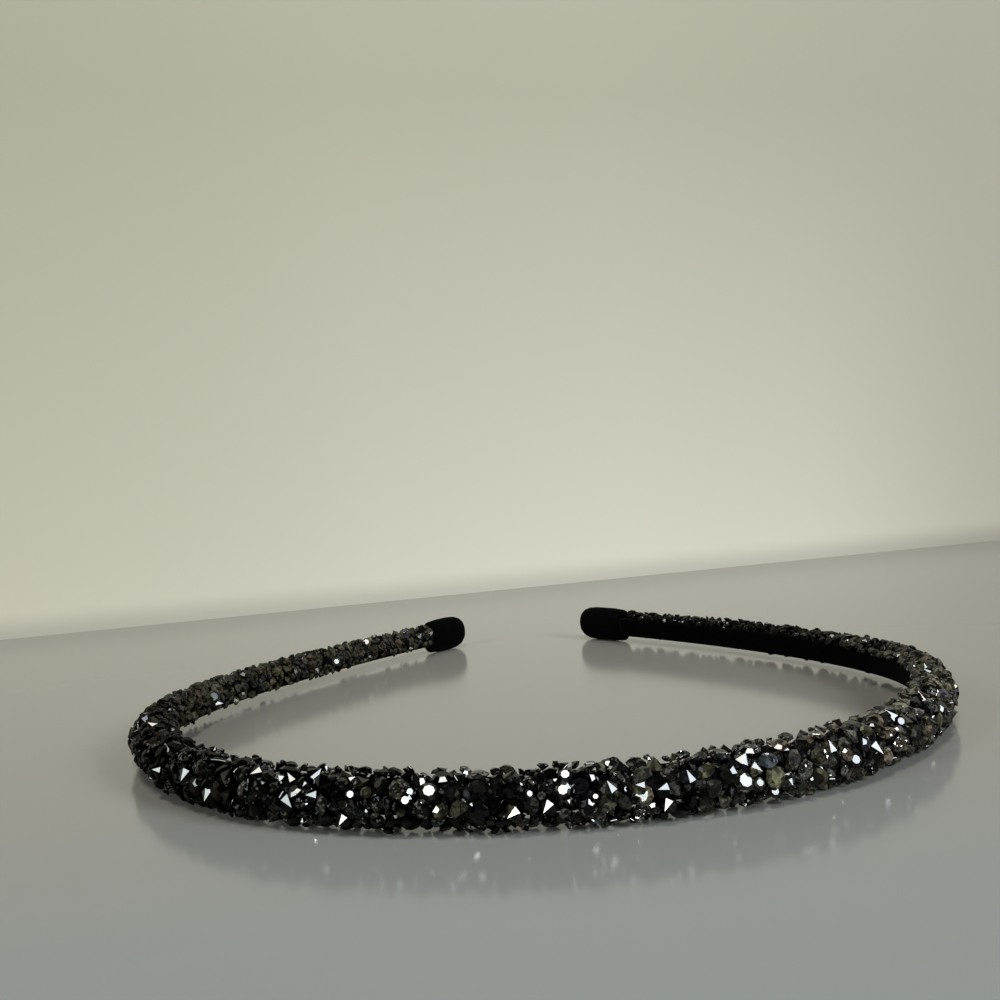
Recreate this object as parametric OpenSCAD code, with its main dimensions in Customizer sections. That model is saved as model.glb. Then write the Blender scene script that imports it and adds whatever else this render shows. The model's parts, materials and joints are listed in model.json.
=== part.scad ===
// Crystal headband, lying on its edge as it rests on a table.
// A narrow core is bent into an open loop. Pointed cut stones stand all over it, turned every way,
// a cloth lining runs along the inside, and a plain cap closes each tip.
// +Z is up, the top of the headband is at -Y and the two tips are at +Y.

/* [Loop] */
// Width of the loop between the middles of its two sides
loop_w = 125.8; // [118:0.2:136]
// Depth of the loop from the middle of its top to its tips
loop_d = 130.2; // [124:0.2:138]
// Gap between the middles of the two tips
tip_gap = 27.4; // [24:0.1:40]
// How far behind the top the loop is widest
widest_at = 55.1; // [52:0.1:60]
// Length over which the top stays nearly straight, from its middle
top_reach = 46.9; // [42:0.1:50]
// The same at the side, towards the top
side_reach = 18.3; // [16:0.1:24]
// The same at the side, towards the tip
back_reach = 27.2; // [22:0.1:32]
// The same at the tip
tip_reach = 15; // [10:0.1:22]
// Angle of the tips to the top of the headband
tip_angle = 42; // [34:1:50]

/* [Core] */
// Height of the core at the top of the headband
core_h = 3.6; // [3.2:0.1:4]
// Thickness of the core there, before its inner side is flattened
core_t = 3.2; // [2.8:0.1:4]
// How far the core stops short of the end of each tip
core_short = 3.5; // [3:0.1:5]

/* [Lining] */
// Width of the lining at the top of the headband
lining_w = 4.4; // [3.8:0.1:4.6]
// Thickness of the lining
lining_t = 1; // [0.8:0.1:1.2]
// How far the lining rolls under the left arm, in degrees
lining_roll = 84; // [0:1:90]
// How far it rolls under the right arm
right_roll = 16; // [0:1:30]

/* [Stones] */
// Diameter of the larger stones
stone_d = 3.05; // [2.6:0.05:3.1]
// Distance from stone to stone along the loop
stone_pitch = 4.21; // [4.1:0.01:5]
// Most that a stone leans
stone_lean = 45; // [0:1:50]
// Which chance arrangement of the stones
stone_seed = 7; // [1:1:99]

/* [Tips] */
// Height of each cap
cap_h = 7.3; // [6.8:0.1:7.6]
// Thickness of each cap
cap_t = 4.6; // [4.4:0.1:5.4]
// Length of the left cap
left_cap = 10.5; // [10:0.1:14]
// Length of the right cap, which is pulled on less far
right_cap = 12.3; // [10:0.1:14]

/* [Hidden] */

GAP = 0.12;              // clearance between neighbouring pieces
CORE_SIDES = 16;
CORE_RINGS = 80;
CAP_SIDES = 24;
FLAT_SHARE = 0.78;       // how far the core's flat inner side lies from its middle, as a share
PATH_STEPS = 60;         // points on each of the two curves of a side
STONE_ROWS = 3;
ROW_ANGLE = 85;          // from row to row round the core
ROLL_FROM = 58;          // the lining starts to roll this far from the middle of the top
ROLL_TO = 108;           // and has rolled all the way here
STONE_SIDES = 8;

// How the section changes from the middle of the top to the end of a tip: [share of the way,
// core height, core thickness, stone size, lining width], the last four as shares of those at the top
TAPER_LEFT = [
    [0.00, 1.00, 1.00, 1.00, 1.00],
    [0.45, 0.98, 0.98, 0.98, 1.00],
    [0.65, 0.92, 0.92, 0.81, 0.90],
    [0.93, 0.84, 0.82, 0.69, 0.80],
    [1.00, 0.84, 0.82, 0.69, 0.80]
];
TAPER_RIGHT = [
    [0.00, 1.00, 1.00, 1.00, 1.00],
    [0.45, 0.98, 0.98, 0.98, 1.00],
    [0.65, 0.90, 0.93, 0.84, 0.97],
    [0.93, 0.82, 0.83, 0.75, 0.90],
    [1.00, 0.82, 0.83, 0.75, 0.90]
];

// Shape of a cap's end: [distance from the end, share of its height, share of its thickness]
CAP_END = [
    [0.00, 0.36, 0.34],
    [0.45, 0.62, 0.58],
    [1.30, 0.82, 0.78],
    [2.60, 0.95, 0.92],
    [4.40, 1.00, 1.00]
];
// Shape of its mouth: [distance back from the mouth, the same two shares]
CAP_MOUTH = [
    [3.00, 1.00, 1.00],
    [0.40, 0.94, 0.94],
    [0.00, 0.90, 0.88]
];

// A cut stone, as shares of its diameter
TABLE_SHARE = 0.56;
CROWN_SHARE = 0.16;
PAVILION_SHARE = 0.43;

function unit(v) = v / norm(v);
function bezier(p, t) =
    pow(1 - t, 3) * p[0] + 3 * pow(1 - t, 2) * t * p[1] + 3 * (1 - t) * t * t * p[2] + t * t * t * p[3];
function smooth(t) = let (c = min(1, max(0, t))) c * c * (3 - 2 * c);

// The middle line of the right half, from the middle of the top to the tip
SIDE_TO_WIDEST = [
    [0, 0],
    [top_reach, 0],
    [loop_w / 2, widest_at - side_reach],
    [loop_w / 2, widest_at]
];
SIDE_TO_TIP = [
    [loop_w / 2, widest_at],
    [loop_w / 2, widest_at + back_reach],
    [tip_gap / 2 + tip_reach * cos(tip_angle), loop_d - tip_reach * sin(tip_angle)],
    [tip_gap / 2, loop_d]
];
HALF = concat(
    [for (i = [0 : PATH_STEPS - 1]) bezier(SIDE_TO_WIDEST, i / PATH_STEPS)],
    [for (i = [0 : PATH_STEPS]) bezier(SIDE_TO_TIP, i / PATH_STEPS)]
);
WAY = [for (i = 0, d = 0; i < len(HALF); d = d + (i + 1 < len(HALF) ? norm(HALF[i + 1] - HALF[i]) : 0), i = i + 1) d];
X_AT = [for (i = [0 : len(HALF) - 1]) [WAY[i], HALF[i].x]];
Y_AT = [for (i = [0 : len(HALF) - 1]) [WAY[i], HALF[i].y]];
half_len = WAY[len(WAY) - 1];

// s is the way along the middle line from the middle of the top, below zero on the left
function at(s) = [sign(s) * lookup(abs(s), X_AT), lookup(abs(s), Y_AT), 0];
function along(s) = unit(at(s + 0.4) - at(s - 0.4));
function outward(s) = [along(s).y, -along(s).x, 0];
function taper(s, column) =
    lookup(abs(s) / half_len, [for (row = s < 0 ? TAPER_LEFT : TAPER_RIGHT) [row[0], row[column]]]);
function half_h(s) = core_h / 2 * taper(s, 1);
function half_t(s) = core_t / 2 * taper(s, 2);
// The section turns about the middle line as the lining rolls under an arm: its back faces
// away from the lining and its edge points along the lining's width
function roll(s) = (s < 0 ? lining_roll : right_roll) * smooth((abs(s) - ROLL_FROM) / (ROLL_TO - ROLL_FROM));
function back(s) = outward(s) * cos(roll(s)) + [0, 0, sin(roll(s))];
function edge(s) = -outward(s) * sin(roll(s)) + [0, 0, cos(roll(s))];
function in_section(s, deep, wide) = at(s) + back(s) * deep + edge(s) * wide;

// The core is an oval whose inner side is flat. Angles start at its back
function core_ring(s, grow) = [
    for (i = [0 : CORE_SIDES - 1])
        let (angle = 360 * i / CORE_SIDES, t = half_t(s) + grow, h = half_h(s) + grow)
        in_section(s, max(t * cos(angle), -half_t(s) * FLAT_SHARE - grow), h * sin(angle))
];
function on_core(s, angle) = in_section(s, half_t(s) * cos(angle), half_h(s) * sin(angle));
function core_normal(s, angle) = unit(back(s) * cos(angle) / half_t(s) + edge(s) * sin(angle) / half_h(s));

// The lining is a flat strip with rounded edges on the core's flat side
function lining_ring(s) =
    let (
        near = -half_t(s) * FLAT_SHARE - GAP,
        far = near - lining_t,
        half_w = lining_w / 2 * taper(s, 4),
        soft = lining_t * 0.3
    )
    [
        for (p = [
            [near - soft, half_w], [far + soft, half_w], [far, half_w - soft], [far, 0], [far, soft - half_w],
            [far + soft, -half_w], [near - soft, -half_w], [near, soft - half_w], [near, 0], [near, half_w - soft]
        ]) in_section(s, p[0], p[1])
    ];

// A closed body through rings of equal count, all in planes across the middle line
module skin(rings) {
    count = len(rings[0]);
    last = (len(rings) - 1) * count;
    polyhedron(
        points = [for (ring = rings) each ring],
        faces = concat(
            [[for (j = [count - 1 : -1 : 0]) j]],
            [[for (j = [0 : count - 1]) last + j]],
            [for (i = [0 : len(rings) - 2], j = [0 : count - 1])
                let (a = i * count, b = a + count, k = (j + 1) % count)
                each [[a + j, a + k, b + k], [a + j, b + k, b + j]]]
        )
    );
}

// The corners of a cut stone round its own middle: table, girdle and point.
// axis points out of its table and turn spins it about that axis
function stone_points(axis, size, turn) =
    let (
        u = unit(cross(axis, abs(axis.z) < 0.8 ? [0, 0, 1] : [1, 0, 0])),
        v = cross(axis, u),
        around = [for (i = [0 : STONE_SIDES - 1]) let (a = turn + 360 * i / STONE_SIDES) u * cos(a) + v * sin(a)]
    )
    concat(
        [for (p = around) p * size / 2 * TABLE_SHARE + axis * size * CROWN_SHARE],
        [for (p = around) p * size / 2],
        [-axis * size * PAVILION_SHARE]
    );
STONE_FACES = concat(
    [[for (i = [STONE_SIDES - 1 : -1 : 0]) i]],
    [for (i = [0 : STONE_SIDES - 1]) let (k = (i + 1) % STONE_SIDES) [i, k, STONE_SIDES + k, STONE_SIDES + i]],
    [for (i = [0 : STONE_SIDES - 1]) [STONE_SIDES + i, STONE_SIDES + (i + 1) % STONE_SIDES, 2 * STONE_SIDES]]
);

function cap_len(side) = side < 0 ? left_cap : right_cap;

// The stones stand in staggered rows over the back and the two edges of the core, from cap to cap
field_from = left_cap + stone_d * 0.55 - half_len;
field_length = half_len - right_cap - stone_d * 0.55 - field_from;
PER_ROW = floor(field_length / stone_pitch);
CHANCES = 6;
CHANCE = rands(0, 1, CHANCES * STONE_ROWS * PER_ROW, stone_seed);

// One stone, as its way along the loop and its corners. It leans any way, its table or its point faces
// out, and its lowest corner stands just clear of the core
function stone(row, n) =
    let (
        first = (row * PER_ROW + n) * CHANCES,
        c = [for (i = [0 : CHANCES - 1]) CHANCE[first + i]],
        stagger = row == 1 ? 0.25 : -0.25,
        s = field_from + (n + 0.5 + stagger + (c[0] - 0.5) * 0.16) * field_length / PER_ROW,
        angle = (row - 1 + (c[1] - 0.5) * 0.14) * ROW_ANGLE,
        size = stone_d * taper(s, 3) * (0.88 + 0.12 * c[2]),
        normal = core_normal(s, angle),
        side = along(s),
        lean = stone_lean * c[3],
        way = 360 * c[4],
        leaning = normal * cos(lean) + (side * cos(way) + cross(normal, side) * sin(way)) * sin(lean),
        shape = stone_points(c[5] < 0.5 ? leaning : -leaning, size, 720 * c[5]),
        depth = -min([for (p = shape) p * normal]),
        seat = on_core(s, angle) + normal * (depth + GAP)
    )
    [s, [for (p = shape) seat + p]];

STONES = [for (row = [0 : STONE_ROWS - 1], n = [0 : PER_ROW - 1]) stone(row, n)];
STONE_CORNERS = [for (st = STONES) each st[1]];

// The whole is moved so that it stands on its lowest stone, with the middle of its box at the origin
low_z = min([for (p = STONE_CORNERS) p.z]);
cap_mid_z = low_z + cap_h / 2;

function cap_ring(side, row) =
    let (s = side * (half_len - row[0]))
    [for (i = [0 : CAP_SIDES - 1])
        at(s) + outward(s) * cap_t / 2 * row[2] * cos(360 * i / CAP_SIDES)
            + [0, 0, cap_mid_z + cap_h / 2 * row[1] * sin(360 * i / CAP_SIDES)]];
function cap_rings(side) = [
    for (row = CAP_END) cap_ring(side, row),
    for (row = CAP_MOUTH) cap_ring(side, [cap_len(side) - row[0], row[1], row[2]])
];
CAP_CORNERS = [for (ring = cap_rings(1)) each ring];
mid_x = (min([for (p = STONE_CORNERS) p.x]) + max([for (p = STONE_CORNERS) p.x])) / 2;
mid_y = (min([for (p = STONE_CORNERS) p.y]) + max([for (p = CAP_CORNERS) p.y])) / 2;

module placed() {
    translate([-mid_x, -mid_y, -low_z]) children();
}

module band() {
    reach = half_len - core_short;
    color([0.06, 0.06, 0.065]) placed()
        skin([for (i = [0 : CORE_RINGS]) core_ring(reach * (2 * i / CORE_RINGS - 1), 0)]);
}

module lining() {
    from = left_cap + GAP - half_len;
    to = half_len - right_cap - GAP;
    color([0.02, 0.02, 0.022]) placed()
        skin([for (i = [0 : CORE_RINGS]) lining_ring(from + (to - from) * i / CORE_RINGS)]);
}

// side is -1 for the left half and 1 for the right half
module stone_field(side) {
    placed()
        for (st = STONES)
            if (st[0] * side > 0)
                polyhedron(points = st[1], faces = STONE_FACES);
}

module cap(side) {
    rings = cap_rings(side);
    socket_end = half_len - core_short + GAP * 2;
    mouth = half_len - cap_len(side) - 1;
    color([0.02, 0.02, 0.022]) placed()
        difference() {
            skin(side < 0 ? rings : [for (i = [len(rings) - 1 : -1 : 0]) rings[i]]);
            skin([for (i = [0 : 4])
                let (w = side < 0 ? i / 4 : 1 - i / 4)
                core_ring(side * (socket_end + (mouth - socket_end) * w), GAP)]);
        }
}

module stones_left() {
    color([0.16, 0.16, 0.17]) stone_field(-1);
}

module stones_right() {
    color([0.3, 0.29, 0.27]) stone_field(1);
}

module tip_left() {
    cap(-1);
}

module tip_right() {
    cap(1);
}

band();
lining();
stones_left();
stones_right();
tip_left();
tip_right();
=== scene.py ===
# %% [markdown]
# # A crystal headband
# The object is a narrow springy headband that lies on its edge. Its core is wrapped in black cloth and
# covered all round with small dark cut stones that point every way, a velvet strip lines its inside, and
# a velvet cap closes each tip. The construction comes ready made, at its real size, from the frame. This
# script adds what a camera sees: fine stones, facets, velvet, weave, light and the table.
#
# Everything is in metres. +Z is up, the top of the headband is at -Y and its two tips are at +Y.

# %% Load the frame
import json

import bpy
import numpy as np
from mathutils import Matrix, Vector

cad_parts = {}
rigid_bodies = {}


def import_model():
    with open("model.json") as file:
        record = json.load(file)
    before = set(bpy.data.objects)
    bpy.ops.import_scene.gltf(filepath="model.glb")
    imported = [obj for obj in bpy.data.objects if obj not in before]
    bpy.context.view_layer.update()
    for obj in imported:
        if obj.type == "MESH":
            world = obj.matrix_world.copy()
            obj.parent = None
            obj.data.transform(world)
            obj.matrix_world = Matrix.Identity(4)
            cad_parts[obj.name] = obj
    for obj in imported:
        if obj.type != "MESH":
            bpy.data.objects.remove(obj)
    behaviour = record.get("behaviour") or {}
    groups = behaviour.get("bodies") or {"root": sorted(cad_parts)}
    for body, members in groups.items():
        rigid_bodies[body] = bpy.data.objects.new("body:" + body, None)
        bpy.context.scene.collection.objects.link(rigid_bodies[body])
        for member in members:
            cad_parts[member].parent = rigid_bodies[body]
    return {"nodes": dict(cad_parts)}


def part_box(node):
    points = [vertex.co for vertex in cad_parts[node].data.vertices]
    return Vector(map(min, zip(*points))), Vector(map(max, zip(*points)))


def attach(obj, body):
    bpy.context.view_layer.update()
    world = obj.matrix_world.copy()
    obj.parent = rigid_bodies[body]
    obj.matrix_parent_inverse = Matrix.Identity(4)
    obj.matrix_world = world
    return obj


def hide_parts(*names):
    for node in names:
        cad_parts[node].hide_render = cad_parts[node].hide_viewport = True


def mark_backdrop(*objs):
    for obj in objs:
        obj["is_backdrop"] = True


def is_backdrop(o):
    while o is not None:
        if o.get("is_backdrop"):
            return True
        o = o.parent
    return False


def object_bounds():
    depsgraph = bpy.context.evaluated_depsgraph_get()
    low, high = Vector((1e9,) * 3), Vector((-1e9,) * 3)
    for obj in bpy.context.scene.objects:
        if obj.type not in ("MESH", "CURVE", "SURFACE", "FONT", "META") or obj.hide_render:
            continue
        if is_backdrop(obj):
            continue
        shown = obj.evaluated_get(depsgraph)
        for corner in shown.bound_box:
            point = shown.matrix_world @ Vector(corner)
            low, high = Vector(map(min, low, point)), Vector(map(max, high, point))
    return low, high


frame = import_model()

cad_low, cad_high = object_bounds()
print("solids:", sorted(frame["nodes"]), "size:", [round(v, 4) for v in cad_high - cad_low])

# %% [markdown]
# ## The camera
# The picture is square and is taken from just above the table, close to the headband, so the front of
# the loop looks much wider than its tips. A camera can be placed by eye, but here its place was worked
# out from the outline of the loop, so it is written as a position, a heading, a pitch and a roll. The
# three directions of the view are then plain trigonometry, and they also serve to find the point of the
# table behind any pixel.

# %% Camera
CAMERA_PLACE = Vector((-0.00803, -0.20621, 0.04812))
HEADING = np.radians(1.04)
PITCH = np.radians(3.21)
ROLL = np.radians(3.69)
PICTURE = 1000
FOCAL_PIXELS = 1200
SENSOR_WIDTH = 36
NEAREST_SEEN = 0.01
FURTHEST_SEEN = 50

flat_ahead = Vector((np.sin(HEADING), np.cos(HEADING), 0))
level_right = Vector((np.cos(HEADING), -np.sin(HEADING), 0))
ahead = flat_ahead * np.cos(PITCH) - Vector((0, 0, np.sin(PITCH)))
level_up = level_right.cross(ahead)
picture_right = level_right * np.cos(ROLL) - level_up * np.sin(ROLL)
picture_up = level_right * np.sin(ROLL) + level_up * np.cos(ROLL)

lens = bpy.data.cameras.new("camera")
lens.sensor_width = SENSOR_WIDTH
lens.lens = SENSOR_WIDTH * FOCAL_PIXELS / PICTURE
lens.clip_start = NEAREST_SEEN
lens.clip_end = FURTHEST_SEEN
camera = bpy.data.objects.new("camera", lens)
view_turn = Matrix((picture_right, picture_up, -ahead)).transposed().to_4x4()
camera.matrix_world = Matrix.Translation(CAMERA_PLACE) @ view_turn
bpy.context.scene.collection.objects.link(camera)
bpy.context.scene.camera = camera
print("lens of", round(lens.lens, 1), "mm")


def point_on_table(x, y):
    """Where the sight line through pixel (x, y) meets the table: the camera's place plus the line's
    direction times the height of the camera over the line's fall."""
    across = (x - PICTURE / 2) / FOCAL_PIXELS
    down = (y - PICTURE / 2) / FOCAL_PIXELS
    direction = ahead + picture_right * across - picture_up * down
    return CAMERA_PLACE + direction * (CAMERA_PLACE.z / -direction.z)


# %% [markdown]
# ## Where the lamps stand
# Cut stones show the lamps themselves, so the light comes from a few strong and rather small ones: each
# gives small white flashes and leaves most facets dark. They are lit at the end, but their places are
# settled here, because some stones will be turned to show one of them. Each lamp has an azimuth, from +Y
# towards +X, an elevation and a distance, then its width and height, how bright it is, and its colour.

# %% Lamps
LAMPS = {
    "window": (130, 28, 1.0, 0.35, 0.39, 25, (0.86, 0.94, 1.0)),
    "ceiling": (190, 68, 1.2, 0.31, 0.31, 25, (1.0, 0.97, 0.92)),
    "side_window": (232, 24, 1.0, 0.19, 0.30, 20, (0.90, 1.0, 0.98)),
    "low_lamp": (200, 12, 0.8, 0.08, 0.12, 50, (1.0, 0.97, 0.92)),
}


def lamp_place(azimuth, elevation, distance, *rest):
    """The point at that distance from the middle of the headband in that direction."""
    a, e = np.radians(azimuth), np.radians(elevation)
    return Vector((np.sin(a) * np.cos(e), np.cos(a) * np.cos(e), np.sin(e))) * distance


lamp_places = np.array([lamp_place(*values) for values in LAMPS.values()])
print("lamps:", ", ".join(LAMPS))

# %% [markdown]
# ## Helpers for nodes and meshes
# A material is a small graph of nodes. Writing each node as one call, with its inputs given as values or
# as the sockets that feed them, keeps the graph readable from top to bottom. The steps that come back in
# every graph, such as a product or a mix of two colours, get a short name of their own. A mesh is made
# from whole arrays: foreach_set copies an array of corners straight into the mesh, which is far faster
# than adding vertices one by one.

# %% Node helpers
def give(tree, socket, value):
    """Links a socket to the one that feeds it, or sets its plain value."""
    if isinstance(value, bpy.types.NodeSocket):
        tree.links.new(value, socket)
    else:
        socket.default_value = value


def node(tree, kind, inputs=(), **settings):
    """Adds a node, sets its properties, and gives each named input a value or a link."""
    made = tree.nodes.new(kind)
    for name, value in settings.items():
        setattr(made, name, value)
    for name, value in dict(inputs).items():
        give(tree, made.inputs[name], value)
    return made


def feed(tree, target, **sockets):
    """Fills the sockets of a shader or of a group's end. A name is written with _ for a space."""
    for name, value in sockets.items():
        give(tree, target.inputs[name.replace("_", " ")], value)


def arithmetic(tree, operation, *values, kind="ShaderNodeMath"):
    """One step of arithmetic on numbers, or on vectors where the kind says so."""
    return node(tree, kind, dict(enumerate(values)), operation=operation).outputs[0]


def scaled(tree, vector, factor):
    """A colour or a direction times a number."""
    return node(tree, "ShaderNodeVectorMath", {0: vector, "Scale": factor}, operation="SCALE").outputs[0]


def mapped(tree, value, start, end, at_start, at_end, curve="LINEAR"):
    """Goes from at_start to at_end while the value goes from start to end, and stays there beyond."""
    inputs = {"Value": value, "From Min": start, "From Max": end, "To Min": at_start, "To Max": at_end}
    return node(tree, "ShaderNodeMapRange", inputs, interpolation_type=curve).outputs["Result"]


def mixed(tree, share, first, second, blend="MIX"):
    """The first colour with a share of the second blended in."""
    inputs = {"Factor": share, "A": first, "B": second}
    return node(tree, "ShaderNodeMix", inputs, data_type="RGBA", blend_type=blend).outputs["Result"]


# %% Groups and materials
def effect(name, inputs, outputs):
    """A shader node group with named sockets, and its two end nodes. inputs and outputs give each
    socket's type, and inputs its value at the start."""
    group = bpy.data.node_groups.new(name, "ShaderNodeTree")
    for label, (kind, value) in inputs.items():
        socket = group.interface.new_socket(label, in_out="INPUT", socket_type="NodeSocket" + kind)
        if value is not None:
            socket.default_value = value
    for label, kind in outputs.items():
        group.interface.new_socket(label, in_out="OUTPUT", socket_type="NodeSocket" + kind)
    return group, node(group, "NodeGroupInput").outputs, node(group, "NodeGroupOutput")


def material(name):
    """An empty material with one Principled shader. Gives the material, its node tree and the shader."""
    made = bpy.data.materials.new(name)
    made.use_nodes = True
    made.node_tree.nodes.clear()
    shader = node(made.node_tree, "ShaderNodeBsdfPrincipled")
    node(made.node_tree, "ShaderNodeOutputMaterial", {"Surface": shader.outputs["BSDF"]})
    return made, made.node_tree, shader


# %% Mesh helpers
def mesh_from_faces(name, points, faces, finish, smooth=False):
    """A mesh object from an array of points and a list of face arrays, each with one row for a face and
    as many columns as the faces have corners."""
    mesh = bpy.data.meshes.new(name)
    corners = np.concatenate([rows.ravel() for rows in faces])
    counts = np.concatenate([np.full(len(rows), rows.shape[1]) for rows in faces])
    mesh.vertices.add(len(points))
    mesh.vertices.foreach_set("co", np.asarray(points, np.float32).ravel())
    mesh.loops.add(len(corners))
    mesh.loops.foreach_set("vertex_index", corners.astype(np.int32))
    mesh.polygons.add(len(counts))
    mesh.polygons.foreach_set("loop_start", (np.cumsum(counts) - counts).astype(np.int32))
    mesh.polygons.foreach_set("use_smooth", np.full(len(counts), smooth))
    mesh.update(calc_edges=True)
    mesh.validate()
    mesh.materials.append(finish)
    made = bpy.data.objects.new(name, mesh)
    bpy.context.scene.collection.objects.link(made)
    return made


def belongs(piece, slot, *nodes):
    """Every piece moves with the one body of the headband and may stand for solids. The slot is not used."""
    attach(piece, "root")
    if nodes:
        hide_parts(*nodes)


def ring_turns(corners, start=0):
    """The angles of the corners of a ring, evenly round it. The first lies start steps from zero."""
    return 2 * np.pi * (np.arange(corners) + start) / corners


# %% [markdown]
# ## The middle line and the section
# The loop is the same curve that the solids follow: on each side one cubic Bezier curve runs from the
# middle of the top to the widest point and a second one from there to the tip. Every piece is then
# placed by three numbers: how far along the line, how deep from it (outwards is above zero) and how wide
# to the side. The section grows smaller towards the tips, more so on the right. Along the left arm it
# rolls until the lining faces the table, and along the right arm it rolls a little.

# %% Middle line
LOOP_WIDTH = 0.1258
LOOP_DEPTH = 0.1302
TIP_GAP = 0.0274
WIDEST_AT = 0.0551
TOP_REACH = 0.0469
SIDE_REACH = 0.0183
BACK_REACH = 0.0272
TIP_REACH = 0.015
TIP_ANGLE = np.radians(42)
PATH_STEPS = 60
LEFT_CAP = 0.0105
RIGHT_CAP = 0.0123


def bezier(ends, t):
    """A cubic Bezier curve: the four points, weighted by the products of t and 1 - t."""
    t = t[:, None]
    a, b, c, d = (np.array(p) for p in ends)
    return (1 - t) ** 3 * a + 3 * (1 - t) ** 2 * t * b + 3 * (1 - t) * t**2 * c + t**3 * d


to_widest = ((0, 0), (TOP_REACH, 0), (LOOP_WIDTH / 2, WIDEST_AT - SIDE_REACH), (LOOP_WIDTH / 2, WIDEST_AT))
to_tip = (
    (LOOP_WIDTH / 2, WIDEST_AT),
    (LOOP_WIDTH / 2, WIDEST_AT + BACK_REACH),
    (TIP_GAP / 2 + TIP_REACH * np.cos(TIP_ANGLE), LOOP_DEPTH - TIP_REACH * np.sin(TIP_ANGLE)),
    (TIP_GAP / 2, LOOP_DEPTH),
)
steps = np.arange(PATH_STEPS) / PATH_STEPS
half_line = np.concatenate([bezier(to_widest, steps), bezier(to_tip, np.append(steps, 1))])
way = np.concatenate([[0], np.cumsum(np.linalg.norm(np.diff(half_line, axis=0), axis=1))])
HALF_LENGTH = way[-1]
print("length along the middle line:", round(2 * HALF_LENGTH, 4), "m")

# %% Sizes of the section
LEFT_ROLL = np.radians(84)
RIGHT_ROLL = np.radians(16)
ROLL_FROM = 0.058
ROLL_TO = 0.108
CORE_HALF_HEIGHT = 0.0018
CORE_HALF_THICK = 0.0016
FLAT_SHARE = 0.78
GAP = 0.00012
TAPER_WAY = (0, 0.45, 0.65, 0.93, 1)
HEIGHT = ((1, 0.98, 0.92, 0.84, 0.84), (1, 0.98, 0.90, 0.82, 0.82))
THICKNESS = ((1, 0.98, 0.92, 0.82, 0.82), (1, 0.98, 0.93, 0.83, 0.83))
STONE = ((1, 0.98, 0.81, 0.69, 0.69), (1, 0.98, 0.84, 0.75, 0.75))
LINING = ((1, 1, 0.90, 0.80, 0.80), (1, 1, 0.97, 0.90, 0.90))
UP = np.array([0.0, 0.0, 1.0])
CLOSE_BY = 0.0004


# %% Places by the section
def at(s):
    """The point of the middle line at the way s from the middle of the top, below zero on the left."""
    x = np.sign(s) * np.interp(np.abs(s), way, half_line[:, 0])
    return np.stack([x, np.interp(np.abs(s), way, half_line[:, 1]), np.zeros_like(s)], axis=-1)


def unit(v):
    """Each vector over its own length."""
    return v / np.linalg.norm(v, axis=-1, keepdims=True)


def along(s):
    """The direction of the middle line, from two points close on either side."""
    return unit(at(s + CLOSE_BY) - at(s - CLOSE_BY))


def outward(s):
    """The level direction out of the loop: the line's direction crossed with up."""
    return np.cross(along(s), UP)


def by_arm(s, ways, rows):
    """Reads a table at the share of the way to the tip, its first row on the left, its second on the
    right."""
    share = np.abs(s) / HALF_LENGTH
    return np.where(s < 0, np.interp(share, ways, rows[0]), np.interp(share, ways, rows[1]))


def taper(s, rows):
    """How much of its size at the top a section still has."""
    return by_arm(s, TAPER_WAY, rows)


def core_half(s):
    """Half the core's thickness and half its height."""
    return CORE_HALF_THICK * taper(s, THICKNESS), CORE_HALF_HEIGHT * taper(s, HEIGHT)


def section_axes(s):
    """The directions of the section, turned by its roll: its back, which faces away from the lining, and
    its edge, which runs along the lining's width. The roll sets in and ends softly: it is the whole roll
    times three squares less two cubes of the share of the way."""
    out = outward(s)
    share = np.clip((np.abs(s) - ROLL_FROM) / (ROLL_TO - ROLL_FROM), 0, 1)
    roll = (np.where(s < 0, LEFT_ROLL, RIGHT_ROLL) * share**2 * (3 - 2 * share))[..., None]
    return out * np.cos(roll) + UP * np.sin(roll), UP * np.cos(roll) - out * np.sin(roll)


band_low, band_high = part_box("band")
LINE_START = np.array([
    (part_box("tip_left")[1].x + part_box("tip_right")[0].x) / 2,
    band_low.y + CORE_HALF_THICK,
    (band_low.z + band_high.z) / 2,
])


def in_section(s, deep, wide):
    """A point of the part: the middle line's point, plus the back times deep, plus the edge times wide."""
    back, edge = section_axes(s)
    return LINE_START + at(s) + back * deep[..., None] + edge * wide[..., None]


print("the middle of the top is at", LINE_START.round(4))

# %% [markdown]
# ## Dark cut glass
# Each stone is dark glass, some with a mirror foil behind it. Two things make it sparkle. Its polished
# surface mirrors the room, facet by facet: that is the coat of the shader, and it shows a lamp only where
# a facet happens to face halfway between the lamp and the eye, so most facets stay dark. Under the
# polish, light that has run through the stone comes back in a few small bright patches: that is the
# shader's base, whose normals a cell pattern tilts at random. A second, coarser cell pattern is a painted
# reflection of the far facets, seen through the stone, and makes some parts of the glass colour lighter
# than others. Each face carries the colour of its glass, which holds painted light, its polish, and a
# number, fire, that says how much of the patches it shows. Real glass with a foil would need many
# bounces of light for the same look.

# %% Patches of fire
FIRE_COLOURS = (
    (0.00, (0.42, 0.42, 0.42, 1)),
    (0.50, (0.34, 0.30, 0.24, 1)),
    (0.72, (0.20, 0.26, 0.34, 1)),
    (0.84, (0.24, 0.30, 0.28, 1)),
    (0.94, (0.34, 0.24, 0.14, 1)),
)
FAR_SHADES = (0.15, 1.85)
TO_CENTRE = (-0.5, -0.5, -0.5)
VECTORS = "ShaderNodeVectorMath"
fire_group, fire_in, fire_out = effect(
    "Patches of fire",
    {
        "Place": ("Vector", None),
        "Normal": ("Vector", None),
        "Cells": ("Float", 3600.0),
        "Tilt": ("Float", 1.5),
        "Share": ("Float", 0.30),
        "Far facets": ("Float", 1500.0),
    },
    {"Mask": "Float", "Colour": "Color", "Normal": "Vector", "Shade": "Float"},
)


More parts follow.
